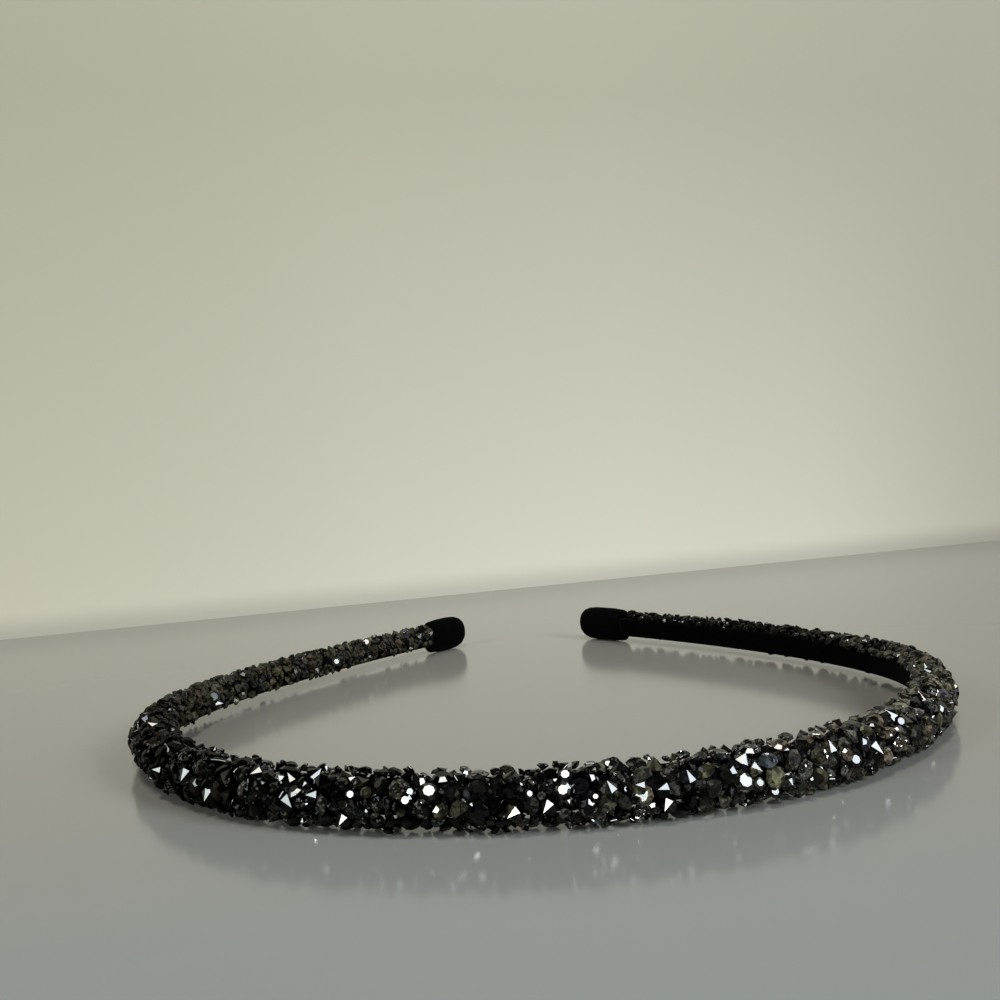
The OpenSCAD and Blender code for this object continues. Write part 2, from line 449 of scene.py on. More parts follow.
def cells_of(scale):
    """The chance colour of each cell in a pattern of that scale, and its red and green as numbers."""
    cells = node(fire_group, "ShaderNodeTexVoronoi", {"Vector": fire_in["Place"], "Scale": scale})
    chance = cells.outputs["Color"]
    return chance, node(fire_group, "ShaderNodeSeparateColor", {"Color": chance}).outputs


far_parts = cells_of(fire_in["Far facets"])[1]
chance, parts = cells_of(fire_in["Cells"])
hues = node(fire_group, "ShaderNodeValToRGB", {"Fac": parts["Green"]})
ramp = hues.color_ramp
ramp.interpolation = "CONSTANT"
ramp.elements.remove(ramp.elements[-1])
for place, colour in FIRE_COLOURS:
    stop = ramp.elements[0] if place == 0 else ramp.elements.new(place)
    stop.color = colour
tilt = scaled(fire_group, arithmetic(fire_group, "ADD", chance, TO_CENTRE, kind=VECTORS), fire_in["Tilt"])
leaning = arithmetic(fire_group, "ADD", fire_in["Normal"], tilt, kind=VECTORS)
feed(
    fire_group,
    fire_out,
    Mask=arithmetic(fire_group, "LESS_THAN", parts["Red"], fire_in["Share"]),
    Colour=hues.outputs["Color"],
    Normal=arithmetic(fire_group, "NORMALIZE", leaning, kind=VECTORS),
    # Shade is a painted reflection of the far facets seen through the stone.
    Shade=mapped(fire_group, far_parts["Red"], 0, 1, *FAR_SHADES),
)
print("nodes in the fire group:", len(fire_group.nodes))


# %% Dark glass
def dark_glass():
    """Near-black glass in each face's own colour, with patches of fire under its polish."""
    made, tree, shader = material("dark_cut_glass")
    glass = node(tree, "ShaderNodeAttribute", attribute_name="glass").outputs["Color"]
    fire = node(tree, "ShaderNodeAttribute", attribute_name="fire").outputs["Fac"]
    polish = node(tree, "ShaderNodeAttribute", attribute_name="polish").outputs["Fac"]
    place = node(tree, "ShaderNodeTexCoord").outputs["Object"]
    facing = node(tree, "ShaderNodeNewGeometry").outputs["Normal"]
    patches = node(tree, "ShaderNodeGroup", {"Place": place, "Normal": facing}, node_tree=fire_group).outputs
    shown = arithmetic(tree, "MULTIPLY", patches["Mask"], fire)
    feed(
        tree,
        shader,
        # The glass colour times the painted reflection of the far facets.
        Base_Color=mixed(tree, shown, scaled(tree, glass, patches["Shade"]), patches["Colour"]),
        Metallic=shown,
        Roughness=0.06,
        Specular_IOR_Level=0.0,
        Normal=patches["Normal"],
        Coat_Weight=polish,
        Coat_Roughness=0.01,
        Coat_IOR=1.6,
    )
    return made


dark_finish = dark_glass()
print("finish:", dark_finish.name)

# %% [markdown]
# ## Clear glass
# A few stones near the lower edge have no foil and let the light through. Paint could fake them, but
# there are so few that they can be real glass, which bends the light of the stones behind.

# %% Clear glass
def clear_glass():
    """Clear glass with a trace of grey."""
    made, tree, shader = material("clear_cut_glass")
    feed(
        tree,
        shader,
        Base_Color=(0.92, 0.93, 0.92, 1),
        Roughness=0.01,
        Metallic=0.0,
        Transmission_Weight=1.0,
        IOR=1.6,
    )
    return made


clear_finish = clear_glass()
print("finish:", clear_finish.name)

# %% [markdown]
# ## The cut of a stone
# A small pointed stone has a flat eight-sided table, a ring of eight crown facets, a thin girdle and
# eight long facets that meet in its point. That is a turned outline with eight corners, so all stones
# are worked out at once: every ring is the stone's size times a share, moved along the stone's axis.
# The girdle cuts the sharp rim of the plain solid off a little, so it never leaves that solid.

# %% Stones from their axes
STONE_SIDES = 8
TABLE_SHARE = 0.56
CROWN_SHARE = 0.16
PAVILION_SHARE = 0.43
GIRDLE_SHARE = 0.015
GIRDLE_RADIUS = 0.48
STONE_POINTS = 3 * STONE_SIDES + 1
FACES_OF_KIND = (1, STONE_SIDES, STONE_SIDES, STONE_SIDES)
UPRIGHT = 0.8


def across(axes, turns):
    """Two directions at right angles to each axis: the first starts level and turns about the axis."""
    start = np.where(np.abs(axes[:, 2:]) < UPRIGHT, [[0.0, 0.0, 1.0]], [[1.0, 0.0, 0.0]])
    level = unit(np.cross(axes, start))
    steep = np.cross(axes, level)
    turns = turns[:, None]
    first = level * np.cos(turns) + steep * np.sin(turns)
    return first, np.cross(axes, first)


def stone_corners(axes, sizes, first, second):
    """The corners of each stone round its own middle. A ring is the stone's size times its share, in
    the directions cos a and sin a, at its height along the axis."""
    turn = ring_turns(STONE_SIDES)
    ring = first[:, None] * np.cos(turn)[None, :, None] + second[:, None] * np.sin(turn)[None, :, None]
    ring = ring * sizes[:, None, None]
    axis = (axes * sizes[:, None])[:, None]
    table = ring / 2 * TABLE_SHARE + axis * CROWN_SHARE
    upper = ring * GIRDLE_RADIUS + axis * GIRDLE_SHARE
    lower = ring * GIRDLE_RADIUS - axis * GIRDLE_SHARE
    point = -axis * PAVILION_SHARE
    return np.concatenate([table, upper, lower, point], axis=1)


def stone_faces(count):
    """Face arrays of count stones, in the order table, crown, girdle and point facets."""
    n = STONE_SIDES
    i = np.arange(n)
    k = (i + 1) % n
    table = i[None]
    crown = np.stack([i, i + n, k + n, k], axis=1)
    girdle = crown + n
    pavilion = np.stack([i + 2 * n, np.full(n, 3 * n), k + 2 * n], axis=1)
    first = STONE_POINTS * np.arange(count)[:, None, None]
    return [(rows[None] + first).reshape(-1, rows.shape[1]) for rows in (table, crown, girdle, pavilion)]


def whole_stones(name, middles, axes, sizes, first, second, finish):
    """One piece of many stones."""
    corners = middles[:, None] + stone_corners(axes, sizes, first, second)
    piece = mesh_from_faces(name, corners.reshape(-1, 3), stone_faces(len(middles)), finish)
    print(name, "has", len(middles), "stones and", len(piece.data.polygons), "facets")
    return piece


# %% [markdown]
# ## The colours of the stones
# No two stones look alike. Most are black, some are smoky, brown or olive, and a few have a hint of blue
# or lilac. Brown and olive ones gather at the right turn and on the arms, so the shares of the kinds
# change along the band. Every stone, and every facet of it, then gets its own share of that colour, a
# painted reflection of the light that comes back unevenly from inside. Along the band the colour also
# carries painted light: the glass is dark on the left and lighter towards the right turn, where light
# runs through it. In the photo the arms lie out of focus, so their glints melt away. A blur of the whole
# picture would also soften the front, so here the stones of the arms are simply less polished.

# %% Colours
SEED = 11
rng = np.random.default_rng(SEED)
GLASS_COLOURS = np.array([
    (0.0010, 0.0010, 0.0010),
    (0.0062, 0.0061, 0.0052),
    (0.0101, 0.0082, 0.0056),
    (0.0096, 0.0091, 0.0056),
    (0.0046, 0.0053, 0.0061),
    (0.0058, 0.0051, 0.0066),
])
KIND_WAY = (-0.095, -0.062, -0.005, 0.012, 0.035, 0.060, 0.085, 0.110)
KIND_SHARES = np.array([
    (0.06, 0.24, 0.33, 0.35, 0.01, 0.01),
    (0.56, 0.20, 0.08, 0.12, 0.03, 0.01),
    (0.52, 0.22, 0.09, 0.13, 0.02, 0.02),
    (0.34, 0.30, 0.13, 0.20, 0.01, 0.02),
    (0.20, 0.34, 0.18, 0.25, 0.01, 0.02),
    (0.14, 0.30, 0.26, 0.28, 0.01, 0.01),
    (0.08, 0.20, 0.46, 0.24, 0.01, 0.01),
    (0.30, 0.20, 0.25, 0.23, 0.01, 0.01),
])
FOILED = 0.42
FACET_MIDDLE = -0.3
FACET_SPREAD = 0.6
STONE_SPREAD = 0.7
DEPTH_LIMITS = (0.1, 2.4)
FIRE_OF_FACETS = (1.0, 0.8, 0.0, 0.1)
FIRE_CURVE = 1.5
LOOK_WAY = (-0.185, -0.110, -0.090, -0.062, -0.030, 0.000, 0.030, 0.055, 0.078, 0.092, 0.104, 0.125, 0.185)
# Painted light along the band: a factor on the glass colour, lighter where light runs through.
GLASS_PAINTED_LIGHT = (4.1, 3.9, 1.4, 0.45, 0.75, 2.0, 3.9, 4.7, 4.5, 4.9, 2.4, 0.7, 0.5)
POLISH = (0.18, 0.18, 0.22, 0.32, 0.85, 1.0, 1.0, 1.0, 0.65, 0.45, 0.32, 0.28, 0.22)
CONTRAST = (0.35, 0.35, 0.6, 0.8, 1.0, 1.1, 1.2, 1.2, 1.0, 0.8, 0.6, 0.5, 0.5)
CAUGHT_POLISH = 0.65
LARGER_POLISH = 0.75


# %% Colour the stones
def write_on_faces(piece, name, kind, field, values):
    """Stores one row of values for each face, which the shader reads by its name."""
    layer = piece.data.attributes.new(name, kind, "FACE")
    layer.data.foreach_set(field, values.astype(np.float32).ravel())


def colour_stones(piece, s, caught, most_polish=1):
    """Draws a kind of glass for each stone at the way s, then gives every facet its colour, which is the
    kind's colour times e to the power of two normal chance numbers, one for the stone and one for the
    facet, as painted reflections from inside, times the painted light along the band, and its polish and
    share of fire."""
    count = len(s)
    shares = np.stack([np.interp(s, KIND_WAY, column) for column in KIND_SHARES.T], axis=1)
    kind = (rng.uniform(0, 1, (count, 1)) > np.cumsum(shares, axis=1)).sum(axis=1)
    kind = kind.clip(0, len(GLASS_COLOURS) - 1)
    foil = (rng.uniform(0, 1, count) < FOILED) & ~caught
    polish = np.where(caught, CAUGHT_POLISH, np.interp(s, LOOK_WAY, POLISH) * most_polish)
    contrast = np.interp(s, LOOK_WAY, CONTRAST)
    stone_painted_light = rng.normal(0, STONE_SPREAD, count)
    of_face = np.concatenate([np.repeat(np.arange(count), times) for times in FACES_OF_KIND])
    # Painted reflection from inside: a chance share of light for each stone and each facet.
    depth = rng.normal(FACET_MIDDLE, FACET_SPREAD, len(of_face)) + stone_painted_light[of_face]
    depth = np.exp(depth * contrast[of_face]).clip(*DEPTH_LIMITS)
    # Painted light along the band scales the glass colour.
    depth = depth * np.interp(s, LOOK_WAY, GLASS_PAINTED_LIGHT)[of_face]
    glass = np.ones((len(of_face), 4))
    glass[:, :3] = GLASS_COLOURS[kind][of_face] * depth[:, None]
    shown = np.repeat(FIRE_OF_FACETS, count * np.array(FACES_OF_KIND))
    write_on_faces(piece, "glass", "FLOAT_COLOR", "color", glass)
    write_on_faces(piece, "fire", "FLOAT", "value", (foil * polish**FIRE_CURVE)[of_face] * shown)
    write_on_faces(piece, "polish", "FLOAT", "value", polish[of_face])
    print(piece.name, "kinds:", np.bincount(kind, minlength=len(GLASS_COLOURS)), "foiled:", foil.sum())


# %% [markdown]
# ## The larger stones
# The frame already holds the larger stones, each in its place. They are read back from its mesh: equal
# corners are merged, touching faces are gathered into stones, and the axis of a stone is the direction
# in which its corners spread least, which an eigenvector of their spread gives. Each is then cut again
# with a girdle and gets its own colours, in exactly the same place and size.

# %% Read the stones of a node
SOLID_CORNERS = 2 * STONE_SIDES + 1
SAME_PLACE = 7
WAY_SAMPLES = 4000


def stones_of(solid):
    """Middle, axis, size and cross directions of each stone in a solid's mesh."""
    mesh = solid.data
    points = np.empty(len(mesh.vertices) * 3, np.float32)
    mesh.vertices.foreach_get("co", points)
    links = np.empty(len(mesh.edges) * 2, np.int32)
    mesh.edges.foreach_get("vertices", links)
    points, merged = np.unique(points.reshape(-1, 3).round(SAME_PLACE), axis=0, return_inverse=True)
    links = merged.ravel()[links].reshape(-1, 2)
    label = np.arange(len(points))
    for _ in range(2 * STONE_SIDES):
        low = np.minimum(label[links[:, 0]], label[links[:, 1]])
        np.minimum.at(label, links[:, 0], low)
        np.minimum.at(label, links[:, 1], low)
    order = np.argsort(label, kind="stable")
    clouds = points[order].reshape(-1, SOLID_CORNERS, 3).astype(float)
    from_centre = clouds - clouds.mean(axis=1, keepdims=True)
    spread = np.einsum("nij,nik->njk", from_centre, from_centre)
    axes = np.linalg.eigh(spread)[1][:, :, 0]
    heights = np.einsum("nij,nj->ni", from_centre, axes)
    axes = axes * np.where(heights.max(axis=1) > -heights.min(axis=1), -1, 1)[:, None]
    heights = np.einsum("nij,nj->ni", from_centre, axes)
    outer = np.linalg.norm(from_centre - heights[..., None] * axes[:, None], axis=2)
    girdle = np.argsort(-outer, axis=1)[:, :STONE_SIDES]
    ring = np.take_along_axis(clouds, girdle[..., None], axis=1)
    middles = ring.mean(axis=1)
    spokes = ring[:, 0] - middles
    first = unit(spokes)
    return middles, axes, 2 * np.linalg.norm(spokes, axis=1), first, np.cross(axes, first)


def way_of(places):
    """How far along the middle line each place lies: the nearest of many samples of the line."""
    samples = np.linspace(-HALF_LENGTH, HALF_LENGTH, WAY_SAMPLES)
    line = LINE_START + at(samples)
    apart = np.linalg.norm(places[:, None, :2] - line[None, :, :2], axis=2)
    return samples[apart.argmin(axis=1)]


# %% Larger stones
large = [stones_of(frame["nodes"]["stones_" + side]) for side in ("left", "right")]
for side, found in zip(("left", "right"), large):
    piece = whole_stones("larger_stones_" + side, *found, dark_finish)
    colour_stones(piece, way_of(found[0]), np.zeros(len(found[0]), bool), LARGER_POLISH)
    belongs(piece, "cut_glass", "stones_" + side)

# %% [markdown]
# ## The finest stones
# Between the larger stones the band is packed with finer ones. They are thrown like darts: many chance
# places are drawn round the core, the biggest stones first, and a stone is kept only if it clears all
# that are there already. Two cut stones are clear of each other when some facet of one has the whole
# other stone in front of it, so the test measures every corner of one against every facet of the other.
# That packs them far closer than a test with balls would, as on the real band, where hardly any cloth
# shows. Each also keeps clear of the lining, the table and the height of the band. A bed of smaller
# stones, closer to the core, comes last and fills the chinks that are left.

# %% Chance values
FINEST = 0.0010
COARSEST = 0.0028
EDGE_COARSEST = 0.0022
BED_FINEST = 0.0008
BED_COARSEST = 0.0015
REACH = 0.00215
CAP_ROOM = 0.0007
LINING_WIDTH = 0.0044
LINING_THICK = 0.001
MOST_LEAN = np.radians(60)
LEAN_CURVE = 0.7
PAST_WAY = (0, 0.40, 0.50, 0.56, 0.66, 1)
PAST_LINING = (
    (0.0003, 0.0005, 0.0006, 0.0005, 0.0004, 0.0007),
    (0.0003, 0.0008, 0.0018, 0.0020, 0.0004, 0.0003),
)


def draw(count, low, high):
    """That many chance numbers from low to high."""
    return rng.uniform(low, high, count)


def chance_ways(count):
    """Chance ways along the middle line, from cap to cap."""
    return draw(count, LEFT_CAP + CAP_ROOM - HALF_LENGTH, HALF_LENGTH - RIGHT_CAP - CAP_ROOM)


def chance_sizes(s, finest, coarsest):
    """Chance sizes from the finest to the coarsest, which shrink along the arms a little less than the
    rest does."""
    return draw(len(s), finest, coarsest) * np.sqrt(taper(s, STONE))


def leaning_axes(s, normal):
    """An axis for each stone: its table or its point faces along the normal, give or take its lean."""
    count = len(s)
    direction = along(s)
    lean = MOST_LEAN * draw(count, 0, 1) ** LEAN_CURVE
    turned = draw(count, 0, 2 * np.pi)
    sideways = direction * np.cos(turned)[:, None] + np.cross(normal, direction) * np.sin(turned)[:, None]
    axis = normal * np.cos(lean)[:, None] + unit(sideways) * np.sin(lean)[:, None]
    return axis * np.where(draw(count, 0, 1) < 0.5, -1, 1)[:, None]


def stone_reach(s):
    """How far the larger stones stand out from the core."""
    return REACH * taper(s, STONE)


def past_lining(s):
    """How far the stones beside the lining stand past its far side."""
    return by_arm(s, PAST_WAY, PAST_LINING)


# %% Chance places
LEVELS = (0.75, 1.08)
BED_LEVELS = (0.35, 0.85)
FURTHEST_ROUND = np.radians(130)
BARE_EDGE_FROM = 0.080
BESIDE_SHARES = (0.15, 0.85)
DEPTH_SHARES = (0.2, 0.95)


def on_core(s, angle):
    """The point of the core's oval at an angle from its back, and the direction straight out of it."""
    half_t, half_h = core_half(s)
    back, edge = section_axes(s)
    normal = unit(back * (np.cos(angle) / half_t)[:, None] + edge * (np.sin(angle) / half_h)[:, None])
    return in_section(s, half_t * np.cos(angle), half_h * np.sin(angle)), normal


def raised(core, normal, level, axis, size, first, second):
    """The middles of stones whose outermost corner stands at its level above the core."""
    outermost = np.einsum("nij,nj->ni", stone_corners(axis, size, first, second), normal).max(axis=1)
    return core + normal * (level - outermost)[:, None]


def round_places(count, finest, coarsest, levels):
    """Stones all round the core's back and edges. The outermost corner of each stands about so far from
    the core as the larger stones do, times a chance share between the two levels."""
    s = chance_ways(count)
    angle = draw(count, -1, 1) * FURTHEST_ROUND
    size = chance_sizes(s, finest, coarsest)
    core, normal = on_core(s, angle)
    axis = leaning_axes(s, normal)
    first, second = across(axis, draw(count, 0, 2 * np.pi))
    level = stone_reach(s) * draw(count, *levels)
    return s, raised(core, normal, level, axis, size, first, second), axis, size, first, second


def edge_places(count, finest, coarsest):
    """Small stones beside the lining's two edges, where the round of the core turns away from them."""
    s = chance_ways(count)
    side = np.where((draw(count, 0, 1) < 0.5) & (s < BARE_EDGE_FROM), -1, 1)
    size = chance_sizes(s, finest, coarsest)
    half_t, half_h = core_half(s)
    outer = half_h + stone_reach(s)
    inner = LINING_WIDTH / 2 * taper(s, LINING)
    wide = inner + (outer - inner) * draw(count, *BESIDE_SHARES)
    deep = -(half_t * FLAT_SHARE + LINING_THICK + past_lining(s)) * draw(count, *DEPTH_SHARES)
    back, edge = section_axes(s)
    normal = unit(back * deep[:, None] + edge * (wide * side)[:, None])
    axis = leaning_axes(s, normal)
    first, second = across(axis, draw(count, 0, 2 * np.pi))
    return s, in_section(s, deep, wide * side), axis, size, first, second


# %% [markdown]
# ## Stones that catch a lamp
# The largest flashes are whole facets that mirror a lamp. A flat mirror does that when it faces exactly
# halfway between the lamp and the eye, so these stones are turned to do so, at the places along the band
# where the flashes are. Most show a long facet of their point, which makes a bright triangle, and a few
# show their table. They are set before the chance stones. Where a larger stone is in the way, the place
# moves a little, a little further with each try.

# %% Facet planes
one = [np.array([[0.0, 0.0, 1.0]]), np.ones(1), np.array([[1.0, 0.0, 0.0]]), np.array([[0.0, 1.0, 0.0]])]
plain_stone = stone_corners(*one)[0]
triangles = np.concatenate([rows[:, :3] for rows in stone_faces(1)])
a, b, c = (plain_stone[triangles[:, i]] for i in range(3))
facet_normals = unit(np.cross(b - a, c - a))
facet_depths = (facet_normals * a).sum(axis=1)

# %% Where the flashes are
TABLE = 0
CROWN = 1
POINT = 1 + 2 * STONE_SIDES
CAUGHT = np.array([
    (-6.3, -17, 2.9, POINT), (-0.4, 29, 2.2, TABLE), (4.0, -11, 3.0, POINT), (26.9, -12, 2.8, POINT),
    (25.4, -25, 1.9, TABLE), (-2.3, -9, 2.8, POINT), (37.6, -7, 2.0, TABLE), (14.2, 27, 2.8, POINT),
    (4.8, 26, 2.7, POINT), (34.1, 45, 2.6, POINT), (12.0, 17, 2.6, POINT), (18.0, 10, 2.7, CROWN),
    (-53.0, 17, 2.8, POINT), (-48.6, -27, 2.6, POINT), (46.9, 3, 1.9, TABLE), (-18.6, 19, 1.7, TABLE),
    (11.7, -12, 2.5, POINT), (48.0, 46, 1.8, TABLE), (22.7, 27, 2.4, POINT), (-39.9, 55, 2.4, POINT),
    (21.9, 0, 1.6, TABLE), (-29.8, 17, 2.4, POINT), (22.9, 64, 2.3, POINT), (38.5, 14, 2.3, CROWN),
    (-27.0, -38, 2.3, POINT), (20.1, 75, 2.2, CROWN), (-35.2, 71, 2.3, POINT), (-33.6, 24, 2.3, CROWN),
    (8.9, 13, 2.2, POINT), (-14.6, -7, 2.2, CROWN), (-60.4, -1, 2.2, POINT), (57.5, 19, 1.7, TABLE),
    (42.7, 63, 1.7, CROWN), (-154.6, 35, 2.4, TABLE), (-167.1, 100, 2.3, TABLE), (-163.5, 112, 2.0, TABLE),
    (-144.9, 112, 2.0, TABLE), (-109.1, 105, 2.4, POINT), (-75.3, 74, 2.3, POINT),
])
CAUGHT_TRIES = 300
CAUGHT_STRAY = 0.0016
CAUGHT_TURN = 0.4
CAUGHT_SPIN = 1.2
CAUGHT_SIZES = (0.9, 1.05)
CAUGHT_LEVELS = (0.95, 1.12)
FLAT_ON = 0.9
MILLIMETRES = 1000


# %% Turn stones to the lamps
def turned_to(facets, direction, rough):
    """A frame for each stone that turns its facet to the direction. The stone may still spin about that
    direction, so its outer end is brought near the rough direction, give or take a chance spin. The
    facet's normal, the way from it to the stone's end and their cross product are written in the
    stone's own frame and in the room, and the turn takes each of the three to its partner."""
    own_normal = facet_normals[facets]
    steep = own_normal[:, 2:]
    end = np.where(steep > FLAT_ON, [[1.0, 0.0, 0.0]], [[0.0, 0.0, 1.0]]) * np.sign(steep)
    own_end = unit(end - (end * own_normal).sum(axis=1, keepdims=True) * own_normal)
    own = np.stack([own_normal, own_end, np.cross(own_normal, own_end)], axis=1)
    near = unit(rough - (rough * direction).sum(axis=1, keepdims=True) * direction)
    spin = draw(len(facets), -CAUGHT_SPIN, CAUGHT_SPIN)[:, None]
    near = near * np.cos(spin) + np.cross(direction, near) * np.sin(spin)
    room = np.stack([direction, near, np.cross(direction, near)], axis=1)
    return np.einsum("nij,nik->njk", own, room)


def caught_places():
    """For each row of CAUGHT, which gives millimetres along the band, degrees round it, millimetres
    across and the facet, many tries with that facet halfway between the directions to the eye and to a
    lamp. Of the lamps, the one is taken that asks for the least lean."""
    row = np.repeat(np.arange(len(CAUGHT)), CAUGHT_TRIES)
    count = len(row)
    stray = np.tile(np.linspace(0, 1, CAUGHT_TRIES), len(CAUGHT))
    s = CAUGHT[row, 0] / MILLIMETRES + stray * draw(count, -CAUGHT_STRAY, CAUGHT_STRAY)
    angle = np.radians(CAUGHT[row, 1]) + stray * draw(count, -CAUGHT_TURN, CAUGHT_TURN)
    size = CAUGHT[row, 2] / MILLIMETRES * draw(count, *CAUGHT_SIZES)
    core, normal = on_core(s, angle)
    surface = core + normal * stone_reach(s)[:, None]
    to_eye = unit(np.array(CAMERA_PLACE) - surface)
    halfway = unit(unit(lamp_places - surface[:, None]) + to_eye[:, None])
    least_lean = np.einsum("nlk,nk->nl", halfway, normal).argmax(axis=1)
    frames = turned_to(CAUGHT[row, 3].astype(int), halfway[np.arange(count), least_lean], normal)
    first, second, axis = frames[:, 0], frames[:, 1], frames[:, 2]
    level = stone_reach(s) * draw(count, *CAUGHT_LEVELS)
    return row, (s, raised(core, normal, level, axis, size, first, second), axis, size, first, second)


# %% Throw the stones
ROUND_THROWS = 60000
EDGE_THROWS = 40000
BED_THROWS = 40000
BED_EDGE_THROWS = 20000
LINING_ROOM = 0.0001
FLOOR_GAP = 0.00003


def largest_first(*groups):
    """Groups of places as one, with the largest stones first."""
    joined = [np.concatenate(columns) for columns in zip(*groups)]
    order = np.argsort(-joined[3])
    return [values[order] for values in joined]


caught_row, caught = caught_places()
thrown = largest_first(
    round_places(ROUND_THROWS, FINEST, COARSEST, LEVELS),
    edge_places(EDGE_THROWS, FINEST, EDGE_COARSEST),
)
bed = largest_first(
    round_places(BED_THROWS, BED_FINEST, BED_COARSEST, BED_LEVELS),
    edge_places(BED_EDGE_THROWS, BED_FINEST, BED_COARSEST),
)
s, middle, axis, size, first, second = (np.concatenate(columns) for columns in zip(caught, thrown, bed))
caught_row = np.concatenate([caught_row, np.full(len(s) - len(caught_row), -1)])
corners = stone_corners(axis, size, first, second)
placed = middle[:, None] + corners
back, edge = section_axes(s)
from_line = placed - (LINE_START + at(s))[:, None]
deep = np.einsum("nij,nj->ni", from_line, back)
wide = np.einsum("nij,nj->ni", from_line, edge)
half_t, half_h = core_half(s)
lining_face = -half_t * FLAT_SHARE - GAP + LINING_ROOM
lining_edge = LINING_WIDTH / 2 * taper(s, LINING) + LINING_ROOM
in_front = deep.min(axis=1) > lining_face
beside = (wide.min(axis=1) > lining_edge) | (wide.max(axis=1) < -lining_edge)
beside &= np.abs(wide).max(axis=1) < half_h + stone_reach(s)
fits = in_front | (beside & (deep.min(axis=1) > lining_face - LINING_THICK - past_lining(s)))
fits &= (placed[..., 2].min(axis=1) > FLOOR_GAP) & (placed[..., 2].max(axis=1) < cad_high.z)
fits &= (s < BARE_EDGE_FROM) | (wide.min(axis=1) > -lining_edge) | (deep.min(axis=1) > 0)
print("chance stones in the room that there is:", fits.sum(), "of", len(s))

# %% Facet test
STONE_GAP = 0.00003


def clears(frame_a, size_a, corners_a, frames, sizes, shapes, offsets):
    """Whether one stone clears each of its neighbours. A facet's plane, turned with its stone, has the
    other stone in front of it when the nearest of that one's corners is past the facet's depth."""
    planes_a = facet_normals @ frame_a
    seen = np.einsum("pk,mck->mpc", planes_a, shapes + offsets[:, None]).min(axis=2)
    room_a = (seen - facet_depths * size_a).max(axis=1)
    planes = facet_normals @ frames
    seen = np.einsum("mpk,mck->mpc", planes, corners_a - offsets[:, None]).min(axis=2)
    room = (seen - facet_depths * sizes[:, None]).max(axis=1)
    return np.maximum(room, room_a) > STONE_GAP


# %% Keep the stones that clear
large_middles, large_axes, large_sizes, large_first, large_second = (
    np.concatenate(columns) for columns in zip(*large)
)
large_frames = np.stack([large_first, large_second, large_axes], axis=1)
large_shapes = stone_corners(large_axes, large_sizes, large_first, large_second)
tried = np.flatnonzero(fits)
kept = [
    np.concatenate([values, np.zeros((len(tried), *values.shape[1:]))])
    for values in (large_middles, large_sizes, large_frames, large_shapes)
]
kept_middles, kept_sizes, kept_frames, kept_shapes = kept
count = len(large_middles)
frames = np.stack([first, second, axis], axis=1)


def stones_near(i, count, stretch=1):
    """Which of the count kept stones come within reach of stone i, and the way from it to each."""
    offsets = kept_middles[:count] - middle[i]
    reach = (kept_sizes[:count] + size[i]) / 2 * stretch
    near = np.flatnonzero((offsets**2).sum(axis=1) < reach**2)
    return near, offsets[near]


chosen = []
rows_done = set()
for i in tried:
    if caught_row[i] in rows_done:
        continue
    near, offsets = stones_near(i, count)
    others = (kept_frames[near], kept_sizes[near], kept_shapes[near], offsets)
    if len(near) and not clears(frames[i], size[i], corners[i], *others).all():
        continue
    for store, values in zip(kept, (middle, size, frames, corners)):
        store[count] = values[i]
    count += 1
    chosen.append(i)
    if caught_row[i] >= 0:
        rows_done.add(caught_row[i])
chosen = np.array(chosen)
print("stones kept:", len(chosen), "of which", len(rows_done), "of", len(CAUGHT), "catch a lamp")

# %% [markdown]
# ## Stones that nothing holds
# On the real band glue holds every stone, to the cloth or to its neighbours. Chance also leaves some
# that touch neither, mostly under the arms, and those would hang in the air. A stone stays if it lies
# close to the core or has enough neighbours within reach, which is quicker to tell than real contact.

# %% Drop the stones that nothing holds
TOUCHING = 1.05
FEWEST_HELD_BY = 3
NEAR_CORE = 0.6
from_core = np.hypot(deep.mean(axis=1), wide.mean(axis=1)) - half_h
held = []
for i in chosen:
    touched = len(stones_near(i, count, TOUCHING)[0]) - 1
    held.append(touched >= FEWEST_HELD_BY or from_core[i] < NEAR_CORE * size[i])
print("stones that nothing holds:", len(held) - sum(held))
chosen = chosen[np.array(held)]

# %% [markdown]
# ## Dark and clear ones
# The finest stones become two pieces, because a piece has one finish: most are dark, and some of those
# low down at the front are of clear glass.

# %% Finest stones
CLEAR_SHARE = 0.08
CLEAR_BELOW = 0.0030
CLEAR_WITHIN = 0.070
front_low = (middle[chosen, 2] < CLEAR_BELOW) & (np.abs(s[chosen]) < CLEAR_WITHIN)
is_clear = front_low & (draw(len(chosen), 0, 1) < CLEAR_SHARE) & (caught_row[chosen] < 0)
groups = (("finest_stones", dark_finish, ~is_clear), ("clear_stones", clear_finish, is_clear))
for name, finish, which in groups:
    i = chosen[which]
    piece = whole_stones(name, middle[i], axis[i], size[i], first[i], second[i], finish)
    if finish is dark_finish:
        colour_stones(piece, s[i], caught_row[i] >= 0)
    belongs(piece, "cut_glass")

# %% [markdown]
# ## Velvet
# The lining and the caps are matt black velvet. Hair could be grown on them, but the pile is far finer
# than a pixel. It swallows nearly all light and only glows faintly where it is seen edge on, so the
# finish is almost black with a trace of sheen, and a fine noise stands for the pile.

# %% Fibre pile
BRUSHED = 400
BRUSHED_RANGE = (0.3, 0.7)
BRUSHED_SHADES = (0.6, 1.6)
BUMP_DEPTH = 0.0001
pile_group, pile_in, pile_out = effect(
    "Fibre pile",
    {"Place": ("Vector", None), "Fibres": ("Float", 6000.0), "Base": ("Color", (0.0006, 0.0006, 0.0007, 1))},
    {"Colour": "Color", "Height": "Float"},
)


def pile_noise(scale, detail):
    """Soft noise of that scale all over the piece."""
    inputs = {"Vector": pile_in["Place"], "Scale": scale, "Detail": detail}
    return node(pile_group, "ShaderNodeTexNoise", inputs).outputs["Fac"]


